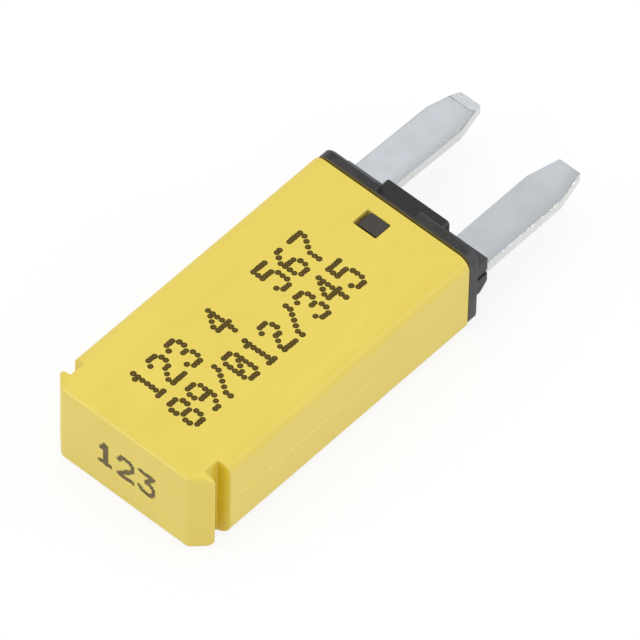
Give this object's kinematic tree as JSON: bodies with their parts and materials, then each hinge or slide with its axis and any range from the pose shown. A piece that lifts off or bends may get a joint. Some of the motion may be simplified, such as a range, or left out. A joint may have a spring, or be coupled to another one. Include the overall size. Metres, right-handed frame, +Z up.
{
  "type": "blade-mounted thermal fuse",
  "caption": "Plug-in automotive thermal fuse: moulded cover over a base with two flat blade terminals, holding a resetting bimetal switch and its heater chip.",
  "frame": {"origin": "centre of the bounding box's footprint, on the lower broad face that the part rests on", "axes": "+Y along the length towards the blade tips, +Z up through the thickness, +X across both blades"},
  "size_m": [0.0124, 0.0348, 0.0065],
  "materials": {
    "cover_yellow": "moulded, satin",
    "base_black": "moulded, fine matte grain",
    "tinned_terminal": "tin plated, satin",
    "bimetal": "rolled bimetal",
    "weld_plate": "nickel-plated steel",
    "contact_silver": "silver alloy",
    "heater_ceramic": "fired resistor chip",
    "lead_brass": "spring brass"
  },
  "bodies": {
    "housing": {"cover": "cover_yellow", "base": "base_black", "bimetal_terminal": "tinned_terminal", "contact_terminal": "tinned_terminal", "fixed_contact": "contact_silver", "heater_chip": "heater_ceramic", "heater_lead_left": "lead_brass", "heater_lead_right": "lead_brass"},
    "contact_arm": {"bimetal_strip": "bimetal", "weld_plate": "weld_plate", "moving_contact": "contact_silver"}
  },
  "joints": [
    {"name": "strip_bend", "type": "hinge", "parent": "housing", "child": "contact_arm", "pos_m": [0, -0.01204, 0.00345], "axis": [1, 0, 0], "range_deg": [0, 5.5], "stiffness_Nm_per_rad": 0.04, "springref_deg": -5.73}
  ]
}
